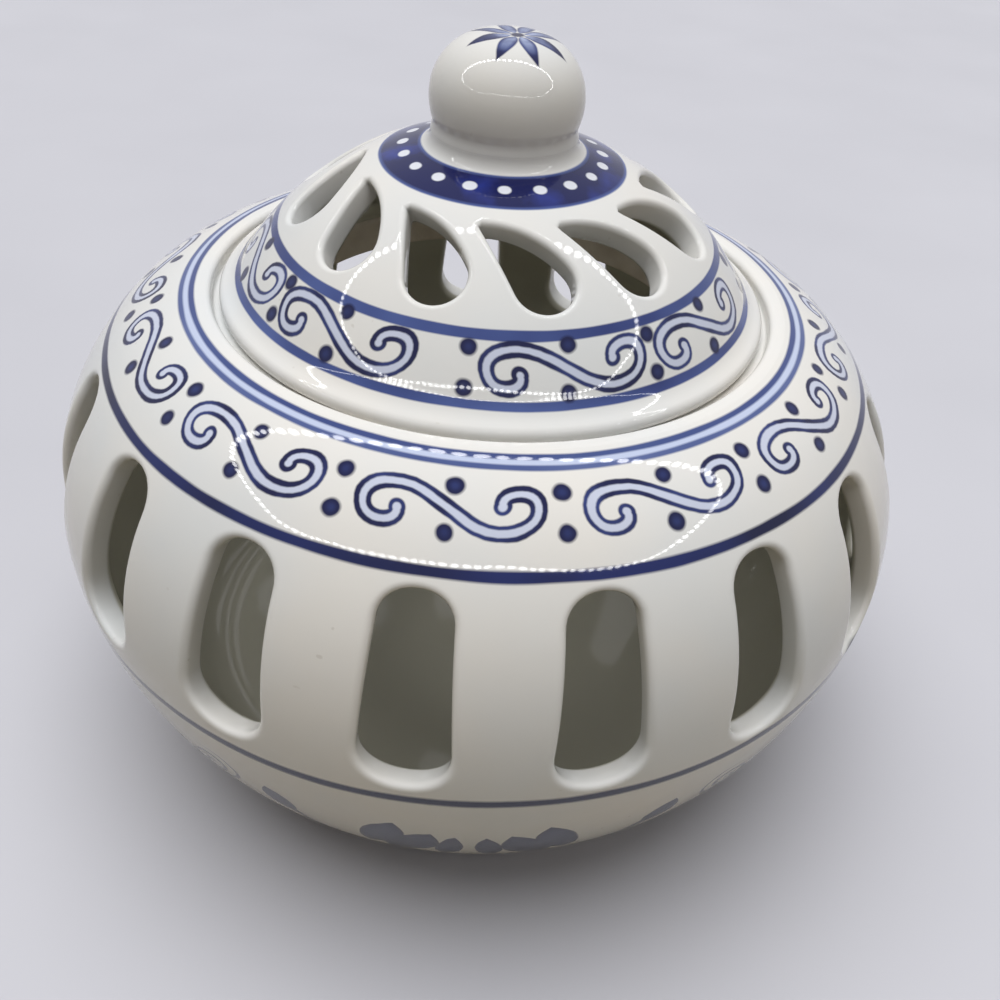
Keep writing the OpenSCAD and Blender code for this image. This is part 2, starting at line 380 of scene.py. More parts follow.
bowl_inside = np.vstack([
    straight((0.0, FLOOR_Z), (floor_c[0], FLOOR_Z), 9),
    arc(floor_c, FLOOR_HOLLOW, -90, math.degrees(floor_angle), 7)[1:],
    bowl_section(np.linspace(floor_edge_v, SLOT_BAND[1], 28), BOWL_WALL)[1:],
])

PORCELAIN = (224, 221, 215)
PORCELAIN_COOL = (213, 216, 217)
SPECK = (150, 138, 120)
# Painted shade: a darker colour laid on the inner walls of bowl and lid, standing in for the shade inside
# the jar.
PAINTED_INSIDE_SHADE = (186, 184, 170)
NAVY = (12, 18, 66)
COBALT = (42, 56, 114)
MID_BLUE = (72, 90, 148)
PALE_BLUE = (180, 192, 222)
WASH = (190, 197, 219)
LEAF_BLUE = (68, 75, 110)
LEAF_DARK = (24, 28, 60)
GLAZE_IOR = 1.46
GLAZE_WAVE = 0.05
ROUGH_CHANGE = 0.03


def srgb(colour):
    """A colour of 0 to 255 on the screen's scale, as a shader takes it."""
    parts = [c / 255 for c in colour]
    return tuple(c / 12.92 if c <= 0.04045 else ((c + 0.055) / 1.055) ** 2.4 for c in parts) + (1.0,)


def feed(tree, slot, value):
    """Gives a socket a wire, another socket, a colour or a number."""
    if isinstance(value, Wire):
        value = value.socket
    if isinstance(value, bpy.types.NodeSocket):
        tree.links.new(value, slot)
    else:
        slot.default_value = value


class Wire:
    """A number on its way through a shader, so that a painted pattern reads as arithmetic."""

    def __init__(self, tree, socket):
        self.tree = tree
        self.socket = socket

    def then(self, operation, *others, clamp=False):
        node = self.tree.nodes.new("ShaderNodeMath")
        node.operation = operation
        node.use_clamp = clamp
        for slot, value in zip(node.inputs, (self, *others)):
            feed(self.tree, slot, value)
        return Wire(self.tree, node.outputs[0])

    def __add__(self, other):
        return self.then("ADD", other)

    def __sub__(self, other):
        return self.then("SUBTRACT", other)

    def __rsub__(self, other):
        return self.then("MULTIPLY_ADD", -1.0, other)

    def __mul__(self, other):
        return self.then("MULTIPLY", other)

    def __abs__(self):
        return self.then("ABSOLUTE")

    def ramp(self, gain, shift):
        """The number times a gain plus a shift, held between nought and one."""
        return self.then("MULTIPLY_ADD", gain, shift, clamp=True)

    def within(self, reach, soft):
        """One where the number is under a reach, nought beyond it, over a soft edge."""
        return self.ramp(-1.0 / soft, reach / soft + 0.5)

    def least(self, other):
        return self.then("MINIMUM", other)

    def most(self, other):
        return self.then("MAXIMUM", other)


def vector(tree, operation, first, second=None, scale=None):
    """One step of vector arithmetic, as its outgoing socket."""
    node = tree.nodes.new("ShaderNodeVectorMath")
    node.operation = operation
    feed(tree, node.inputs[0], first)
    if second is not None:
        feed(tree, node.inputs[1], second)
    if scale is not None:
        feed(tree, node.inputs["Scale"], scale)
    single = operation in ("LENGTH", "DOT_PRODUCT")
    return node.outputs["Value" if single else "Vector"]


def noise(tree, where, scale, detail=2.0):
    """Soft noise, as a wire that mostly stays between 0.3 and 0.7 and as the socket of its colour."""
    node = tree.nodes.new("ShaderNodeTexNoise")
    feed(tree, node.inputs["Vector"], where)
    node.inputs["Scale"].default_value = scale
    node.inputs["Detail"].default_value = detail
    return Wire(tree, node.outputs[0]), node.outputs[1]


def laid(tree, under, over, mask):
    """One colour laid over another by a mask. A mix node takes its two colours in inputs 6 and 7."""
    node = tree.nodes.new("ShaderNodeMix")
    node.data_type = "RGBA"
    feed(tree, node.inputs[0], mask)
    for slot, colour in ((6, under), (7, over)):
        feed(tree, node.inputs[slot], srgb(colour) if isinstance(colour, tuple) else colour)
    return node.outputs[2]


class Brush:
    """The start of a painted glaze: where the shader is, in mm, and the bare porcelain to paint on."""

    def __init__(self, name):
        self.material = bpy.data.materials.new(name)
        self.material.use_nodes = True
        self.tree = self.material.node_tree
        self.tree.nodes.clear()
        self.place = self.tree.nodes.new("ShaderNodeTexCoord").outputs["Object"]
        split = self.tree.nodes.new("ShaderNodeSeparateXYZ")
        self.tree.links.new(vector(self.tree, "SCALE", self.place, scale=1 / MM), split.inputs[0])
        self.x, self.y, self.z = (Wire(self.tree, out) for out in split.outputs)
        self.rho = (self.x * self.x + self.y * self.y).then("SQRT")
        self.theta = self.x.then("ARCTAN2", self.y * -1.0)
        self.colour = self.blend(PORCELAIN, PORCELAIN_COOL, self.noise(38.0).ramp(2.2, -0.75))
        self.lay(SPECK, self.noise(900.0, 0.0).ramp(14.0, -11.9) * 0.25)

    def noise(self, scale, detail=2.0):
        return noise(self.tree, self.place, scale, detail)[0]

    def lay(self, colour, mask):
        self.colour = laid(self.tree, self.colour, colour, mask)

    def blend(self, under, over, mask):
        return laid(self.tree, under, over, mask)

    def around(self, pitch, first, sway=0.0):
        """Turn in radians from the nearest of a ring of motifs with a pitch, a first turn and a sway, every
        other one swaying the other way, in degrees."""
        step = math.radians(pitch)
        count = (self.theta - math.radians(first)) * (1 / step) + 0.5
        number = count.then("FLOOR")
        turn = (count - number - 0.5) * step
        if sway:
            odd = number.then("FLOORED_MODULO", 2.0)
            turn = turn - odd.then("MULTIPLY_ADD", -2 * math.radians(sway), math.radians(sway))
        return turn

    def finish(self, roughness, relief, depth, ior):
        """Joins the paint to a surface with a roughness and a fine relief of a depth in mm."""
        out = self.tree.nodes.new("ShaderNodeOutputMaterial")
        shader = self.tree.nodes.new("ShaderNodeBsdfPrincipled")
        bump = self.tree.nodes.new("ShaderNodeBump")
        bump.inputs["Distance"].default_value = depth * MM
        shader.inputs["IOR"].default_value = ior
        feed(self.tree, bump.inputs["Height"], relief)
        feed(self.tree, shader.inputs["Base Color"], self.colour)
        feed(self.tree, shader.inputs["Roughness"], roughness)
        feed(self.tree, shader.inputs["Normal"], bump.outputs[0])
        feed(self.tree, out.inputs[0], shader.outputs[0])
        return self.material

    def glazed(self, roughness):
        """Joins the paint to a clear glossy glaze with a slightly wavy surface."""
        cloud = self.noise(60.0).then("MULTIPLY_ADD", ROUGH_CHANGE, roughness - ROUGH_CHANGE / 2)
        return self.finish(cloud, self.noise(110.0), GLAZE_WAVE, GLAZE_IOR)


SCROLL_PAST = (1.3, 0.81)
SCROLL_CURVES = (
    ((0.0, 0.0), (-2.0, -1.25), (-3.6, -2.5), (-5.9, -2.55)),
    ((-5.9, -2.55), (-8.5, -2.6), (-10.3, -1.5), (-10.3, 0.2)),
    ((-10.3, 0.2), (-10.3, 1.6), (-9.4, 2.4), (-8.1, 2.4)),
    ((-8.1, 2.4), (-6.8, 2.4), (-5.8, 1.7), (-6.1, 0.7)),
)
SCROLL_STEPS = (6, 8, 7, 7)
SCROLL_END_R = 0.08
SCROLL_DOTS = ((-0.25, 2.95), (0.25, -2.95))
GAP_DOT = (0.0, 2.5)
SCROLL_SHAKE = 0.4
GAP_SHAKE = 0.6
RIBBON_HALF = 0.73
RIBBON_LINE = 0.3
RIBBON_PRESS = 0.35
RIBBON_COVER = 0.85
DOT_R = 1.14
DOT_PRESS = 0.5


def bezier(points, count):
    """Points along a curve with four handles."""
    t = np.linspace(0, 1, count)[:, None]
    a, b, c, d = (np.array(p) for p in points)
    return a * (1 - t) ** 3 + 3 * b * t * (1 - t) ** 2 + 3 * c * t ** 2 * (1 - t) + d * t ** 3


def stroke(tree, point, path):
    """Distance in mm from a brush stroke through the points of a path."""
    nearest = None
    for start, end in zip(path, path[1:]):
        run = np.array(end) - np.array(start)
        run = (float(run[0]), float(run[1]), 0.0)
        away = vector(tree, "SUBTRACT", point, (float(start[0]), float(start[1]), 0.0))
        share = tuple(c / (run[0] ** 2 + run[1] ** 2) for c in run)
        along = Wire(tree, vector(tree, "DOT_PRODUCT", away, share)).then("MULTIPLY", 1.0, clamp=True)
        off = vector(tree, "SUBTRACT", away, vector(tree, "SCALE", run, scale=along))
        distance = Wire(tree, vector(tree, "LENGTH", off))
        nearest = distance if nearest is None else nearest.least(distance)
    return nearest


def spot(tree, point, middle):
    """Distance in mm from a point."""
    return Wire(tree, vector(tree, "LENGTH", vector(tree, "SUBTRACT", point, (middle[0], middle[1], 0.0))))


def joined(tree, across, down):
    """A point from two wires."""
    node = tree.nodes.new("ShaderNodeCombineXYZ")
    feed(tree, node.inputs[0], across)
    feed(tree, node.inputs[1], down)
    return node.outputs[0]


def scroll_parts(brush, across, down):
    """A double-ended scroll about (0, 0): the mask of its ribbon, and distances in mm from its outline and
    from the dots over and under it."""
    tree = brush.tree
    side = across.then("SIGN")
    folded = joined(tree, abs(across) * -1.0, down * side * -1.0)
    path = [SCROLL_PAST]
    for curve, count in zip(SCROLL_CURVES, SCROLL_STEPS):
        path += [tuple(p) for p in bezier(curve, count)[:-1]]
    path.append(SCROLL_CURVES[-1][-1])
    away = stroke(tree, folded, path).least(spot(tree, folded, path[-1]) - SCROLL_END_R)
    ribbon = away.within(RIBBON_HALF, soft=0.2)
    outline = abs(away - RIBBON_HALF)
    over, under = (spot(tree, folded, place) for place in SCROLL_DOTS)
    return ribbon, outline, over.least(under)


def scroll_band(brush, middle_v, v, scrolls, gaps):
    """Paints a band of scrolls with dots over, under and between them. The scrolls, and the gaps between
    them, each have a pitch, a first turn and perhaps a sway in degrees."""
    tree = brush.tree
    _, shake = noise(tree, brush.place, 230.0)
    parts = tree.nodes.new("ShaderNodeSeparateXYZ")
    tree.links.new(shake, parts.inputs[0])
    shake_x, shake_y = (Wire(tree, out) - 0.5 for out in parts.outputs[:2])
    across = brush.around(*scrolls) * brush.rho + shake_x * SCROLL_SHAKE
    down = v - middle_v + shake_y * SCROLL_SHAKE
    ribbon, outline, dots = scroll_parts(brush, across, down)
    between = joined(tree, brush.around(*gaps) * brush.rho + shake_x * GAP_SHAKE, abs(down))
    dots = dots.least(spot(tree, between, GAP_DOT))
    tone = brush.noise(170.0)
    brush.lay(WASH, ribbon * RIBBON_COVER)
    ink = brush.blend(COBALT, NAVY, tone.ramp(3.4, -1.05))
    brush.lay(ink, (outline - (tone - 0.5) * RIBBON_PRESS).within(RIBBON_LINE, soft=0.22))
    dot_ink = brush.blend(NAVY, COBALT, dots.within(0.5, soft=0.6) * tone)
    brush.lay(dot_ink, (dots - (tone - 0.5) * DOT_PRESS).within(DOT_R, soft=0.4))


def dipped(brush, v, dip, turn):
    """The way down the wall, for paint that dips by some mm at a turn in degrees and rises opposite."""
    return v - (brush.theta - math.radians(turn)).then("COSINE") * dip


LINE_WANDER = 0.7
LINE_PRESS = 0.3


def ring_line(brush, v, at, half, colour, soft=0.22):
    """Paints a line right round, with the brush's slight wander and change of pressure."""
    wander = brush.noise(28.0) - 0.5
    press = brush.noise(85.0) - 0.5
    away = abs(v - at + wander * LINE_WANDER) - press * LINE_PRESS
    brush.lay(colour, away.within(half, soft))


LEAF_PITCH = 90.0
LEAF_TURN = 3.6
LEAVES = (
    ((2.7, 53.2), 1.8, 6.4, -5.0), ((7.9, 52.8), 3.2, 7.2, -20.0), ((12.1, 50.0), 2.9, 6.8, -14.0),
    ((27.2, 48.4), 2.2, 4.4, 24.0),
)
LEAF_POINT = 2.4
LEAF_SHAKE = (0.9, 1.2)
LEAF_SHADE = 0.7
LEAF_EDGE = 0.93
LEAF_EDGE_HALF = 0.08
LEAF_EDGE_COVER = 0.8
LEAF_STEM_HALF = 0.6
LEAF_STEM = ((26.4, 49.6), (22.6, 55.0), (15.0, 60.0))
LEAF_CURL_MIDDLE = (38.4, 46.6)
LEAF_CURL_R = 4.9
LEAF_CURL_STEP = 2.3
LEAF_CURL_HALF = 0.16
LEAF_CURL_COVER = 0.85


def leaf_reach(tree, point, middle, half_wide, half_tall, lean):
    """How far out a point is in one pointed leaf: nought at its middle, one at its edge."""
    turn = math.radians(lean)
    away = vector(tree, "SUBTRACT", point, (middle[0], middle[1], 0.0))
    wide = (math.cos(turn) / half_wide, math.sin(turn) / half_wide, 0.0)
    tall = (-math.sin(turn) / half_tall, math.cos(turn) / half_tall, 0.0)
    aside = abs(Wire(tree, vector(tree, "DOT_PRODUCT", away, wide)))
    return aside + abs(Wire(tree, vector(tree, "DOT_PRODUCT", away, tall))).then("POWER", LEAF_POINT)


def leaf_band(brush, v):
    """Paints the border of leaves, buds and curls under the belly, each group a mirror of itself."""
    tree = brush.tree
    turn = brush.around(LEAF_PITCH, LEAF_TURN)
    shake = brush.noise(180.0) - 0.5
    point = joined(tree, abs(turn * brush.rho + shake * LEAF_SHAKE[0]), v + shake * LEAF_SHAKE[1])
    tone = brush.noise(240.0, 3.0).ramp(3.0, -1.0)
    fill = brush.blend(LEAF_BLUE, LEAF_DARK, tone * LEAF_SHADE)
    for middle, half_wide, half_tall, lean in LEAVES:
        reach = leaf_reach(tree, point, middle, half_wide, half_tall, lean)
        brush.lay(fill, reach.within(1.0, soft=0.1))
        edge = abs(reach - LEAF_EDGE).within(LEAF_EDGE_HALF, soft=0.1)
        brush.lay(LEAF_DARK, edge * LEAF_EDGE_COVER)
    brush.lay(fill, stroke(tree, point, LEAF_STEM).within(LEAF_STEM_HALF, soft=0.3))
    away = vector(tree, "SUBTRACT", point, LEAF_CURL_MIDDLE + (0.0,))
    parts = tree.nodes.new("ShaderNodeSeparateXYZ")
    tree.links.new(away, parts.inputs[0])
    turns = Wire(tree, parts.outputs[1]).then("ARCTAN2", Wire(tree, parts.outputs[0])) * (1 / (2 * math.pi))
    wide = Wire(tree, vector(tree, "LENGTH", away))
    coil = abs((wide * (1 / LEAF_CURL_STEP) - turns).then("FRACT") - 0.5)
    curl = coil.within(LEAF_CURL_HALF, soft=0.14) * wide.within(LEAF_CURL_R, soft=0.3)
    brush.lay(LEAF_BLUE, curl * LEAF_CURL_COVER)


SCROLL_V = -4.6
SCROLLS_ROUND = (30.0, -2.0)
GAPS_ROUND = (30.0, 13.0)
SHOULDER_LINE_V = 2.9
SHOULDER_LINE_HALF = 0.7
BELLY_LINE_V = 35.2
BELLY_LINE_HALF = 0.76
BELLY_DIP = 1.6
LEAF_DIP = 1.3
LOW_TURN = -90.0
DOUBLE_LINE_V = (-12.25, -10.65)
DOUBLE_LINE_HALF = (0.42, 0.38)
DOUBLE_COVER = 0.85
DOUBLE_DIP = 0.48
DOUBLE_TURN = 60.0
LINE_DARK = (5, 13, 58)
LINE_NAVY = (20, 34, 94)
LINE_BLUE = (62, 78, 130)
LINE_PALE = (84, 98, 146)
PAINT_DEEP = 0.9
INSIDE_SKIN = 0.6
BOWL_ROUGH = 0.045

brush = Brush("bowl glaze")
belly_angle = (brush.z - float(belly_c[1])).then("ARCTAN2", brush.rho - float(belly_c[0]))
shoulder_angle = (brush.z - float(shoulder_c[1])).then("ARCTAN2", brush.rho - float(shoulder_c[0]))
lower_angle = (brush.z - float(lower_c[1])).then("ARCTAN2", brush.rho - float(lower_c[0]))
belly_v = (bowl_turn - belly_angle) * BELLY_ARC
shoulder_v = (bowl_turn - shoulder_angle) * SHOULDER_ARC
under_v = (lower_turn - lower_angle) * LOWER_ARC
bowl_v = belly_v.most(0.0).least(lower_v) + shoulder_v.least(0.0) + under_v.most(0.0)
bare = brush.colour
line_tone = brush.noise(60.0).ramp(3.0, -1.0)
lip_v = dipped(brush, bowl_v, DOUBLE_DIP, DOUBLE_TURN)
double_half = (DOUBLE_LINE_V[1] - DOUBLE_LINE_V[0]) / 2
double_fill = abs(lip_v - sum(DOUBLE_LINE_V) / 2).within(double_half, soft=0.3)
brush.lay(PALE_BLUE, double_fill * DOUBLE_COVER)
double_inks = (
    brush.blend(LINE_BLUE, COBALT, line_tone * 0.8), brush.blend(LINE_PALE, LINE_BLUE, line_tone),
)
for line_v, half, ink in zip(DOUBLE_LINE_V, DOUBLE_LINE_HALF, double_inks):
    ring_line(brush, lip_v, line_v, half, ink, soft=0.3)
shoulder_ink = brush.blend(LINE_NAVY, LINE_DARK, line_tone)
ring_line(brush, bowl_v, SHOULDER_LINE_V, SHOULDER_LINE_HALF, shoulder_ink, soft=0.35)
belly_line_v = dipped(brush, bowl_v, BELLY_DIP, LOW_TURN)
belly_ink = brush.blend(NAVY, LINE_DARK, line_tone)
ring_line(brush, belly_line_v, BELLY_LINE_V, BELLY_LINE_HALF, belly_ink, soft=0.55)
scroll_band(brush, SCROLL_V, bowl_v, SCROLLS_ROUND, GAPS_ROUND)
leaf_band(brush, dipped(brush, bowl_v, LEAF_DIP, LOW_TURN))
bowl_depth = None
for middle, radius, here in (
    (shoulder_c, SHOULDER_ARC, belly_v.then("LESS_THAN", 0.0)),
    (belly_c, BELLY_ARC, belly_v.then("GREATER_THAN", 0.0) * under_v.then("LESS_THAN", 0.0)),
    (lower_c, LOWER_ARC, under_v.then("GREATER_THAN", 0.0)),
):
    out = joined(brush.tree, brush.rho - float(middle[0]), brush.z - float(middle[1]))
    part = (radius - Wire(brush.tree, vector(brush.tree, "LENGTH", out))) * here
    bowl_depth = part if bowl_depth is None else bowl_depth + part
brush.colour = brush.blend(bare, brush.colour, bowl_depth.within(PAINT_DEEP, soft=0.3))
# Painted shade: everything deeper than the skin of the wall, the inside of the bowl, is darkened as if in
# shade.
brush.lay(PAINTED_INSIDE_SHADE, 1.0 - bowl_depth.within(BOWL_WALL - INSIDE_SKIN, soft=0.4))
bowl_glaze = brush.glazed(BOWL_ROUGH)

slot_panel = pierced_panel(
    on_bowl, slot_outline(), lambda v: np.zeros(len(v)), math.pi / SLOTS, SLOT_BAND, BOWL_WALL, BELLY_ARC,
    SLOT_SOFT_OUT, SLOT_SOFT_IN, ACROSS, DOWN, 0.0,
)
border_turn = SLOT_TURN - 180 / SLOTS
bowl_rest = [turned(part, SLOTS * ACROSS, border_turn) for part in (bowl_top, bowl_under, bowl_inside)]
bowl = pierced_wall("pierced_bowl", slot_panel, bowl_rest, SLOTS, SLOT_TURN, bowl_glaze)
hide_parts("bowl")
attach(bowl, "bowl")

# Foot ring
# The low ring that the bowl stands on, turned on the wheel and stuck to the underside with slip. It is
# wiped bare of glaze so that it does not stick in the kiln.
FOOT_R = 47.0
FOOT_W = 5.0
FOOT_ROUND = 1.2
BARE_CLAY = (212, 203, 190)
BARE_CLAY_DARK = (176, 164, 148)
CLAY_ROUGH = 0.6
CLAY_ROUGH_CHANGE = 0.2
CLAY_TOOTH = 0.06
CLAY_IOR = 1.5
TURNING_RINGS = 9.0
TURNING_SHARE = 0.15
RING_COLUMNS = 192


def bare_clay():
    """Matt unglazed porcelain: a fine tooth, faint turning rings and a little dirt."""
    brush = Brush("bare porcelain")
    grit = brush.noise(1400.0, 4.0)
    stain = brush.noise(120.0, 3.0)
    brush.colour = brush.blend(BARE_CLAY, BARE_CLAY_DARK, stain.ramp(2.6, -1.1))
    rings = (brush.rho * TURNING_RINGS).then("SINE")
    roughness = stain.then("MULTIPLY_ADD", CLAY_ROUGH_CHANGE, CLAY_ROUGH)
    return brush.finish(roughness, grit + rings * TURNING_SHARE, CLAY_TOOTH, CLAY_IOR)


bare_porcelain = bare_clay()
foot_in_r = FOOT_R - FOOT_W
foot_section = np.vstack([
    straight((foot_in_r, FOOT_H), (foot_in_r, FOOT_ROUND), 6),
    arc((foot_in_r + FOOT_ROUND, FOOT_ROUND), FOOT_ROUND, 180, 270, 8)[1:],
    arc((FOOT_R - FOOT_ROUND, FOOT_ROUND), FOOT_ROUND, 270, 360, 8),
    straight((FOOT_R, FOOT_ROUND), (FOOT_R, FOOT_H), 6)[1:],
    straight((FOOT_R, FOOT_H), (foot_in_r, FOOT_H), 3)[1:],
])
foot_ring = mesh_object("turned_foot", turned(foot_section, RING_COLUMNS))
foot_ring.data.materials.append(bare_porcelain)
closed_up(foot_ring)
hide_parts("foot_ring")
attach(foot_ring, "bowl")

# Lid
# The shallow dome, cast in the same porcelain, pierced with a swirl of drops and painted with a dotted
# collar band and a band of scrolls. It flares to a rounded rim, and a raised collar at the top carries the
# knob.
DOME_ARC = 44.7
LID_WALL = 4.0
RIM_R = 40.3
RIM_ROUND = 1.3
RIM_HOLLOW = 6.0
LID_BASE_T = 2.5
BASE_ROUND = 0.6
BASE_SWEEP = ((32.5, 0.12), (32.85, 0.5))
BASE_RISE = 1.0
FLANGE_IN_R = 31.4
COLLAR_R = 11.2
COLLAR_RISE = 0.4
COLLAR_ROUND = 1.5
COLLAR_HOLLOW = 2.0
NECK_FOLD = 0.55
NECK_FOLD_END = 184
JOINT_STEP = 0.05
DROPS = 12
DROP_TURN = 15.5
DROP_TILT = 36.6
DROP_R = 4.05
DROP_LEN = 11.6
DROP_BULGE = 16.2
DROP_SLANT = 38.0
DROP_EASE = 1.3
DROP_BAND = (18.3, 34.7)
DROP_SOFT_OUT = 0.9
DROP_SOFT_IN = 1.0
DROP_ACROSS = 20
DROP_DOWN = 22
DROP_TIP_SIDE = 6.0
DROP_LEAN = 2.0
DROP_LEAN_END_V = 27.8

rim_c = np.array([RIM_R - RIM_ROUND, ledge_z + RIM_ROUND])
dome_z = rim_c[1] - math.sqrt(DOME_ARC ** 2 - rim_c[0] ** 2)
seat_z = dome_z + DOME_ARC + COLLAR_RISE


def lid_section(v, depth):
    """Points (r, z) of the dome, v mm down the outside from its top, depth mm into the clay."""
    tilt = np.atleast_1d(np.asarray(v, float)) / DOME_ARC
    reach = DOME_ARC - depth
    return np.stack([reach * np.sin(tilt), dome_z + reach * np.cos(tilt)], -1)


def on_lid(theta, v, depth):
    """Points in metres on the dome."""
    return set_round(lid_section(v, depth), theta)


def lid_radius(v):
    """The dome's outside radius in mm, v mm down from its top."""
    return lid_section(v, 0.0)[:, 0]


def drop_lean(v):
    """The slant of the panels between the drops, in radians round the axis."""
    return np.radians(np.minimum(DROP_LEAN * (v - DROP_LEAN_END_V), 0.0))


def drop_outline():
    """The outline of one drop as (theta, v): a straight side, a bulging side and a round end."""
    off = DROP_BULGE - DROP_R
    fall = (DROP_BULGE ** 2 - off ** 2 - DROP_LEN ** 2) / (2 * off * DROP_LEN)
    way = np.array([math.sqrt(1 - fall ** 2), fall])
    middle = -off * way
    tip_turn = math.degrees(math.atan2(DROP_LEN - middle[1], -middle[0]))
    join_turn = math.degrees(math.asin(fall))
    side_turn = 90 + math.degrees(math.acos(DROP_R / DROP_LEN)) - 360
    round_end = arc((0.0, 0.0), DROP_R, join_turn, side_turn, 160)
    flat = np.vstack([
        arc(middle, DROP_BULGE, tip_turn, join_turn, 120),
        round_end[1:],
        straight(round_end[-1], (0.0, DROP_LEN), 100)[1:-1],
    ])
    slant = math.radians(DROP_SLANT)
    right = flat[:, 0] * math.cos(slant) - flat[:, 1] * math.sin(slant)
    down = -flat[:, 0] * math.sin(slant) - flat[:, 1] * math.cos(slant)
    reach = np.maximum(np.hypot(right, down), 1e-9)
    bend = np.sin(reach / DOME_ARC)
    tilt = math.radians(DROP_TILT)
    out = math.sin(tilt) * np.cos(reach / DOME_ARC) + math.cos(tilt) * down / reach * bend
    up = math.cos(tilt) * np.cos(reach / DOME_ARC) - math.sin(tilt) * down / reach * bend
    theta = np.arctan2(right / reach * bend, out)
    return eased(np.stack([theta, np.arccos(up) * DOME_ARC], -1), DROP_EASE, lid_radius)


drop_panel = pierced_panel(
    on_lid, drop_outline(), drop_lean, math.pi / DROPS, DROP_BAND, LID_WALL, DOME_ARC,
    DROP_SOFT_OUT, DROP_SOFT_IN, DROP_ACROSS, DROP_DOWN, DROP_TIP_SIDE,
)
hollow_cos = DOME_ARC ** 2 + (DOME_ARC + RIM_HOLLOW) ** 2 - (RIM_ROUND + RIM_HOLLOW) ** 2
hollow_cos /= 2 * DOME_ARC * (DOME_ARC + RIM_HOLLOW)
rim_tilt = math.atan2(rim_c[0], rim_c[1] - dome_z)
hollow_tilt = rim_tilt - math.acos(hollow_cos)
hollow_out = np.array([math.sin(hollow_tilt), math.cos(hollow_tilt)])
hollow_c = (DOME_ARC + RIM_HOLLOW) * hollow_out + (0.0, dome_z)
hollow_start = 270 - math.degrees(hollow_tilt)
hollow_way = rim_c - hollow_c
hollow_end = math.degrees(math.atan2(hollow_way[1], hollow_way[0])) % 360
neck_r = COLLAR_R - COLLAR_ROUND
fold_r = neck_r + NECK_FOLD
fold_c_r = fold_r + COLLAR_HOLLOW
fold_c = np.array([fold_c_r, dome_z + math.sqrt((DOME_ARC + COLLAR_HOLLOW) ** 2 - fold_c_r ** 2)])
fold_tilt = math.asin(fold_c_r / (DOME_ARC + COLLAR_HOLLOW))
lid_top = np.vstack([
    lid_section(np.linspace(DROP_BAND[0], fold_tilt * DOME_ARC, 10), 0.0),
    arc(fold_c, COLLAR_HOLLOW, 270 - math.degrees(fold_tilt), NECK_FOLD_END, 9)[1:],
    [(fold_r, seat_z - JOINT_STEP), (fold_r, seat_z)],
    straight((fold_r - JOINT_STEP, seat_z), (0.0, seat_z), 6),
])
lid_crown = lid_section(np.linspace(0.0, DROP_BAND[0], 12), LID_WALL)
base_z = ledge_z + LID_BASE_T
base_v = math.acos((base_z + BASE_RISE - dome_z) / (DOME_ARC - LID_WALL)) * DOME_ARC
lid_low = np.vstack([
    lid_section(np.linspace(DROP_BAND[1], hollow_tilt * DOME_ARC, 16), 0.0),
    arc(hollow_c, RIM_HOLLOW, hollow_start, hollow_end, 8)[1:],
    arc(rim_c, RIM_ROUND, hollow_end - 180, -90, 14),
    straight((rim_c[0], ledge_z), (FLANGE_IN_R, ledge_z), 6)[1:],
    straight((FLANGE_IN_R, ledge_z), (FLANGE_IN_R, base_z - BASE_ROUND), 4)[1:],
    arc((FLANGE_IN_R + BASE_ROUND, base_z - BASE_ROUND), BASE_ROUND, 180, 90, 5)[1:],
    [(r, base_z + up) for r, up in BASE_SWEEP],
    lid_section(np.linspace(base_v, DROP_BAND[1], 16), LID_WALL),
])

DOT_BAND_V = (11.6, 17.8)
DOT_BAND_MIDDLE_V = 14.3
DOT_BAND_EDGE = 0.35
DOT_BAND_WANDER = 0.5
BAND_DOTS = 19
BAND_DOT_TURN = 4.0
BAND_DOT_R = 0.95
BAND_DOT_SQUASH = 1.15
BAND_DOT_PRESS = 0.6
LID_LINE_V = (35.5, 44.2)
LID_LINE_HALF = (0.72, 0.62)
LID_SCROLL_V = 39.75
LID_SCROLLS_ROUND = (45.0, 15.5, 2.7)
LID_GAPS_ROUND = (45.0, -4.75, 1.85)
BAND_BLUE = (18, 25, 78)
ROYAL = (34, 50, 134)
BAND_WHITE = (216, 219, 226)
LID_PAINT_DEEP = 0.6
LID_ROUGH = 0.042

brush = Brush("lid glaze")
drop = brush.z - float(dome_z)
lid_v = brush.rho.then("ARCTAN2", drop) * DOME_ARC
lid_depth = DOME_ARC - (brush.rho * brush.rho + drop * drop).then("SQRT")
bare = brush.colour
line_tone = brush.noise(60.0).ramp(3.0, -1.0)
line_ink = brush.blend(MID_BLUE, COBALT, line_tone)
for line_v, half in zip(LID_LINE_V, LID_LINE_HALF):
    ring_line(brush, lid_v, line_v, half, line_ink)
scroll_band(brush, LID_SCROLL_V, lid_v, LID_SCROLLS_ROUND, LID_GAPS_ROUND)
band_middle = sum(DOT_BAND_V) / 2
band_half = (DOT_BAND_V[1] - DOT_BAND_V[0]) / 2
band_away = abs(lid_v - band_middle + (brush.noise(45.0) - 0.5) * DOT_BAND_WANDER)
patch = brush.noise(150.0, 3.0).ramp(4.0, -2.0)
brush.lay(MID_BLUE, band_away.within(band_half, soft=0.25))
brush.lay(brush.blend(BAND_BLUE, ROYAL, patch), band_away.within(band_half - DOT_BAND_EDGE, soft=0.5))
dot_across = brush.around(360 / BAND_DOTS, BAND_DOT_TURN) * brush.rho
dot_away = joined(brush.tree, dot_across, (lid_v - DOT_BAND_MIDDLE_V) * BAND_DOT_SQUASH)
dot_reach = Wire(brush.tree, vector(brush.tree, "LENGTH", dot_away))
dot_spread = dot_reach - (brush.noise(260.0) - 0.5) * BAND_DOT_PRESS
brush.lay(BAND_WHITE, dot_spread.within(BAND_DOT_R, soft=0.25))
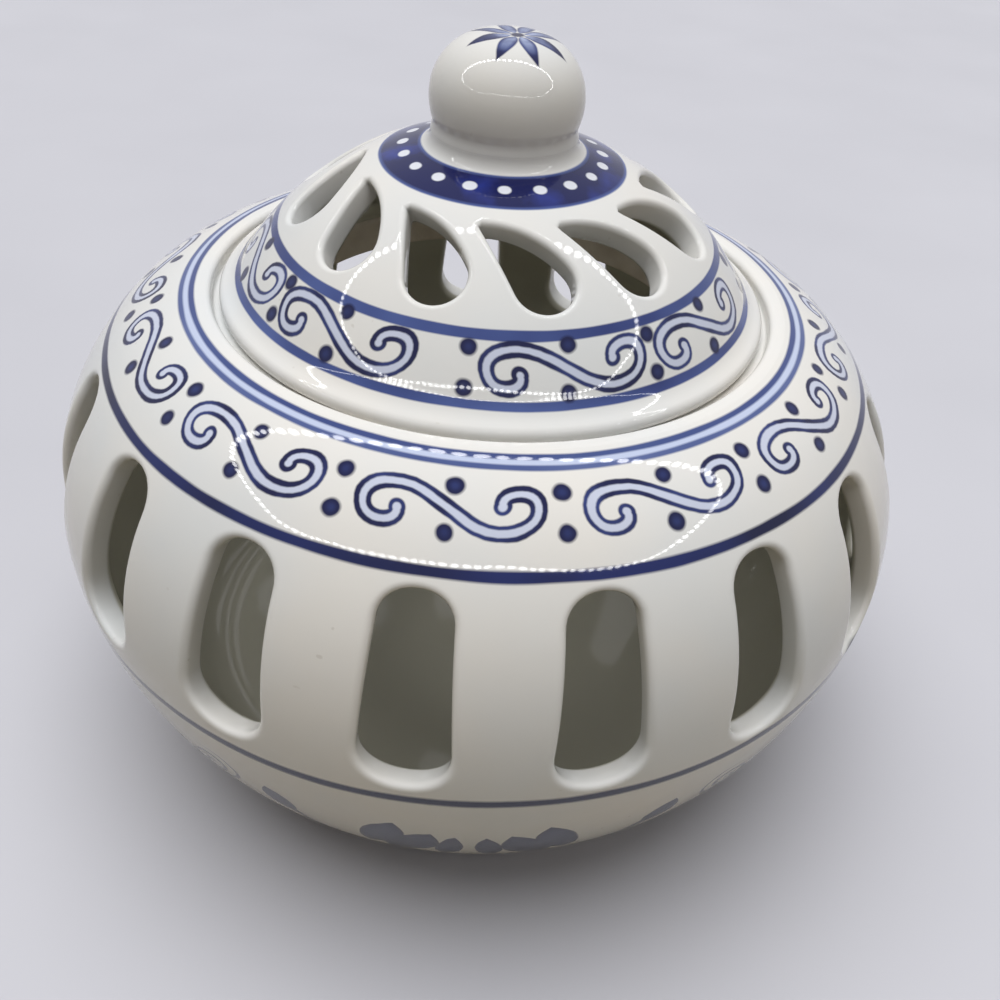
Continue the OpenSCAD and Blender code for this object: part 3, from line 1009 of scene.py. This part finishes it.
brush.colour = brush.blend(bare, brush.colour, abs(lid_depth).within(LID_PAINT_DEEP, soft=0.2))
# Painted shade: everything deeper than the skin of the dome, the underside of the lid, is darkened as if in
# shade.
brush.lay(PAINTED_INSIDE_SHADE, 1.0 - lid_depth.within(LID_WALL - INSIDE_SKIN, soft=0.4))
lid_glaze = brush.glazed(LID_ROUGH)

border_top, border_low = np.degrees(drop_lean(np.array(DROP_BAND))) - 180 / DROPS + DROP_TURN
lid_rest = [
    turned(part, DROPS * DROP_ACROSS, first)
    for part, first in ((lid_top, border_top), (lid_crown, border_top), (lid_low, border_low))
]
lid = pierced_wall("pierced_lid", drop_panel, lid_rest, DROPS, DROP_TURN, lid_glaze)
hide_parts("lid")
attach(lid, "lid")

# Lid flange
# The ring stuck under the lid with slip, which drops into the mouth and keeps the lid central. It is left
# unglazed so that it does not stick to the bowl in the kiln.
FLANGE_T = 3.0
FLANGE_H = 6.0
FLANGE_ROUND = 0.7
flange_low = ledge_z - FLANGE_H
flange_out = FLANGE_IN_R + FLANGE_T
flange_section = np.vstack([
    straight((FLANGE_IN_R, ledge_z), (FLANGE_IN_R, flange_low + FLANGE_ROUND), 6),
    arc((FLANGE_IN_R + FLANGE_ROUND, flange_low + FLANGE_ROUND), FLANGE_ROUND, 180, 270, 6)[1:],
    arc((flange_out - FLANGE_ROUND, flange_low + FLANGE_ROUND), FLANGE_ROUND, 270, 360, 6),
    straight((flange_out, flange_low + FLANGE_ROUND), (flange_out, ledge_z), 6)[1:],
    straight((flange_out, ledge_z), (FLANGE_IN_R, ledge_z), 3)[1:],
])
lid_flange = mesh_object("locating_ring", turned(flange_section, RING_COLUMNS))
lid_flange.data.materials.append(bare_porcelain)
closed_up(lid_flange)
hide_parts("lid_flange")
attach(lid_flange, "lid")

# Knob
# The round knob, cast solid and stuck to the collar with slip, with a fold of glaze in the joint and a
# flower of eight petals brushed on its crown.
KNOB_SWELL = 0.9
KNOB_FOLD_H = 1.6
KNOB_FOLD_SHARE = 0.7
KNOB_FOLD_START = 0.45
KNOB_FOLD_PULL = (0.12, 0.9)
KNOB_BELLY_H = 4.8
KNOB_CROWN = 8.0
KNOB_COLUMNS = 144
FLOWER_X = 0.8
FLOWER_Y = -0.8
FLOWER_RISE = 2.0
FLOWER_EYE_R = 0.9
PETALS = 8
PETAL_TURN = 26.0
PETAL_START = 0.9
PETAL_END = 7.0
PETAL_HALF = 1.05
PETAL_POINT = 0.8
PETAL_SHAKE = (0.8, 0.9)
HEART_SHARE = 0.6
HEART_BLUE_COVER = 0.5
HEART_PALE_COVER = 0.7
PETAL_DARK = (22, 26, 72)
KNOB_ROUGH = 0.04

knob_r = neck_r + KNOB_SWELL
flank_h = KNOB_BELLY_H - KNOB_FOLD_H
flank_in = KNOB_SWELL - NECK_FOLD * KNOB_FOLD_SHARE
flank_arc = (flank_h ** 2 + flank_in ** 2) / (2 * flank_in)
belly_z = seat_z + KNOB_BELLY_H
flank_low = math.degrees(math.asin(flank_h / flank_arc))
flank_r = knob_r - flank_in
fold = bezier((
    (fold_r, seat_z), (fold_r, seat_z + KNOB_FOLD_START),
    (flank_r - KNOB_FOLD_PULL[0], seat_z + KNOB_FOLD_PULL[1]), (flank_r, seat_z + KNOB_FOLD_H),
), 8)
knob_section = np.vstack([
    straight((0.0, seat_z), (fold_r - JOINT_STEP, seat_z), 6),
    [(fold_r, seat_z), (fold_r, seat_z + JOINT_STEP)],
    fold[1:],
    arc((knob_r - flank_arc, belly_z), flank_arc, -flank_low, 0, 12)[1:],
    arc((knob_r - KNOB_CROWN, belly_z), KNOB_CROWN, 0, 90, 26)[1:],
    straight((knob_r - KNOB_CROWN, belly_z + KNOB_CROWN), (0.0, belly_z + KNOB_CROWN), 5)[1:],
])

brush = Brush("knob glaze")
flower_x = brush.x - FLOWER_X
flower_y = brush.y - FLOWER_Y
brush.rho = (flower_x * flower_x + flower_y * flower_y).then("SQRT")
brush.theta = flower_x.then("ARCTAN2", flower_y * -1.0)
petal_turn = brush.around(360 / PETALS, PETAL_TURN)
along = brush.rho + (brush.noise(200.0) - 0.5) * PETAL_SHAKE[0]
aside = abs(petal_turn * brush.rho + (brush.noise(160.0) - 0.5) * PETAL_SHAKE[1])
share = (along - PETAL_START) * (1 / (PETAL_END - PETAL_START))
opening = share.then("MULTIPLY", 1.0, clamp=True).then("POWER", PETAL_POINT)
swell = (opening * math.pi).then("SINE").most(0.0) * PETAL_HALF
on_crown = (brush.z - float(belly_z)).then("GREATER_THAN", FLOWER_RISE)
petal = (aside - swell).within(0.0, soft=0.25) * share.within(1.0, soft=0.05) * on_crown
heart = (aside - swell * HEART_SHARE).within(0.0, soft=0.5) * share.within(0.5, soft=0.5)
streak = brush.noise(260.0).ramp(4.0, -1.5)
brush.lay(brush.blend(PETAL_DARK, COBALT, streak * share.within(0.75, soft=0.3)), petal)
brush.lay(MID_BLUE, heart * petal * HEART_BLUE_COVER)
brush.lay(PALE_BLUE, heart * petal * streak * HEART_PALE_COVER)
brush.lay(NAVY, brush.rho.within(FLOWER_EYE_R, soft=0.4) * on_crown)
knob = mesh_object("round_knob", turned(knob_section, KNOB_COLUMNS))
knob.data.materials.append(brush.glazed(KNOB_ROUGH))
closed_up(knob)
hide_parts("knob")
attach(knob, "lid")

# Table top, light and camera
# A pale matt table top that runs out of sight, one broad soft light overhead, a weaker one from the side, a
# loop of small lamps that shows in the glaze, and the camera close above the front of the jar.
FLOOR_HALF = 2.0
FLOOR = (194, 194, 200)
FLOOR_CLOUD = 9
FLOOR_ROUGH = 0.7
BACKDROP = (210, 210, 215)
SKY = (134, 134, 137)
ROOM = (30, 26, 20)
BOUNCE = (142, 132, 110)


def seen_straight(tree):
    """One where the camera sees this straight, in a gloss or through glass, and nought for other light."""
    ray = tree.nodes.new("ShaderNodeLightPath").outputs
    seen = Wire(tree, ray["Is Camera Ray"])
    return seen.most(Wire(tree, ray["Is Glossy Ray"])).most(Wire(tree, ray["Is Transmission Ray"]))


floor_corners = [(x * FLOOR_HALF, y * FLOOR_HALF, 0) for x, y in ((-1, -1), (1, -1), (1, 1), (-1, 1))]
floor = mesh_object("floor", (floor_corners, [(0, 1, 2, 3)]))
cover = bpy.data.materials.new("table top")
cover.use_nodes = True
cover_shader = cover.node_tree.nodes["Principled BSDF"]
cover_place = cover.node_tree.nodes.new("ShaderNodeTexCoord").outputs["Object"]
cover_cloud, _ = noise(cover.node_tree, cover_place, 14.0)
cover_tone = laid(cover.node_tree, FLOOR, tuple(c - FLOOR_CLOUD for c in FLOOR), cover_cloud)
cover_lit = laid(cover.node_tree, BOUNCE, cover_tone, seen_straight(cover.node_tree))
cover.node_tree.links.new(cover_lit, cover_shader.inputs["Base Color"])
cover_shader.inputs["Roughness"].default_value = FLOOR_ROUGH
floor.data.materials.append(cover)

world = bpy.data.worlds.new("studio")
bpy.context.scene.world = world
world.use_nodes = True
back = world.node_tree.nodes["Background"]
way_up = world.node_tree.nodes.new("ShaderNodeSeparateXYZ")
facing = world.node_tree.nodes.new("ShaderNodeTexCoord").outputs["Generated"]
world.node_tree.links.new(facing, way_up.inputs[0])
height = Wire(world.node_tree, way_up.outputs[2]).ramp(1.5, -0.15)
room = laid(world.node_tree, ROOM, SKY, height)
backdrop = laid(world.node_tree, room, BACKDROP, seen_straight(world.node_tree))
world.node_tree.links.new(backdrop, back.inputs["Color"])

SIDE_PLACE = (0.75, -0.35, 0.35)
SIDE_AIM = (0.0, 0.0, 0.05)
SIDE_SIZE = (0.35, 0.5)
SIDE_WATTS = 0.55
side_data = bpy.data.lights.new("side", "AREA")
side_data.shape = "RECTANGLE"
side_data.size, side_data.size_y = SIDE_SIZE
side_data.energy = SIDE_WATTS
side = bpy.data.objects.new("side", side_data)
bpy.context.scene.collection.objects.link(side)
side.location = SIDE_PLACE
way = np.array(SIDE_AIM) - np.array(SIDE_PLACE)
side.rotation_euler = (math.atan2(math.hypot(way[0], way[1]), -way[2]), 0.0, math.atan2(-way[0], way[1]))
side.visible_glossy = False

OVERHEAD_LEAN = (-2.0, -6.0)
OVERHEAD_SPREAD = 58.0
OVERHEAD_LEVEL = 3.3
overhead_data = bpy.data.lights.new("overhead", "SUN")
overhead_data.energy = OVERHEAD_LEVEL
overhead_data.angle = math.radians(OVERHEAD_SPREAD)
overhead = bpy.data.objects.new("overhead", overhead_data)
bpy.context.scene.collection.objects.link(overhead)
overhead.rotation_euler = tuple(math.radians(lean) for lean in OVERHEAD_LEAN) + (0.0,)
overhead.visible_glossy = False

LAMPS = 104
LAMP_R = 0.0035
LAMP_SIDES = 8
LAMP_GLOW = 18.0
LAMP_LOOP = (0.18, 0.09)
LAMP_LOOP_MIDDLE = (0.0, -0.09, 0.2)
LAMP_LOOP_SQUARE = 3.0
LAMP_LOOP_STEPS = 4001
turn = np.linspace(0, 2 * math.pi, LAMP_LOOP_STEPS)
loop = np.stack([
    np.sign(wave) * np.abs(wave) ** (2 / LAMP_LOOP_SQUARE) for wave in (np.cos(turn), np.sin(turn))
], -1) * LAMP_LOOP + LAMP_LOOP_MIDDLE[:2]
along = np.concatenate([[0.0], np.cumsum(np.linalg.norm(np.diff(loop, axis=0), axis=1))])
spaced = np.linspace(0, along[-1], LAMPS, endpoint=False)
corner = 2 * math.pi * np.arange(LAMP_SIDES) / LAMP_SIDES
lamp_z = np.full(LAMP_SIDES, LAMP_LOOP_MIDDLE[2])
lamp_lots = []
for x, y in zip(np.interp(spaced, along, loop[:, 0]), np.interp(spaced, along, loop[:, 1])):
    lamp = np.stack([x + LAMP_R * np.cos(corner), y + LAMP_R * np.sin(corner), lamp_z], -1)
    lamp_lots.append((lamp, [tuple(range(LAMP_SIDES))]))
lamp_ring = mesh_object("string of lamps", *lamp_lots)
glow = bpy.data.materials.new("lamp glow")
glow.use_nodes = True
glow.node_tree.nodes.clear()
glow_out = glow.node_tree.nodes.new("ShaderNodeOutputMaterial")
glow_light = glow.node_tree.nodes.new("ShaderNodeEmission")
glow_light.inputs["Strength"].default_value = LAMP_GLOW
glow.node_tree.links.new(glow_light.outputs[0], glow_out.inputs[0])
lamp_ring.data.materials.append(glow)
lamp_ring.visible_diffuse = False
lamp_ring.visible_camera = False
lamp_ring.visible_shadow = False

CAMERA_PLACE = (3.879, -144.242, 151.64)
CAMERA_DOWN = 38.46
CAMERA_ROLL = 5.11
CAMERA_LENS = 37.7
CAMERA_SENSOR = 36.0
CAMERA_NEAR = 0.01

lean_down = math.radians(CAMERA_DOWN)
roll = math.radians(CAMERA_ROLL)
forward = np.array([0.0, math.cos(lean_down), -math.sin(lean_down)])
level = np.array([1.0, 0.0, 0.0])
below = np.cross(forward, level)
across = math.cos(roll) * level - math.sin(roll) * below
below = math.sin(roll) * level + math.cos(roll) * below
camera_data = bpy.data.cameras.new("camera")
camera_data.lens = CAMERA_LENS
camera_data.sensor_width = CAMERA_SENSOR
camera_data.clip_start = CAMERA_NEAR
camera = bpy.data.objects.new("camera", camera_data)
bpy.context.scene.collection.objects.link(camera)
rows = np.eye(4)
rows[:3, :3] = np.stack([across, -below, -forward], -1)
rows[:3, 3] = np.array(CAMERA_PLACE) * MM
camera.matrix_world = Matrix(rows.tolist())
bpy.context.scene.camera = camera
bpy.context.scene.view_settings.view_transform = "Standard"
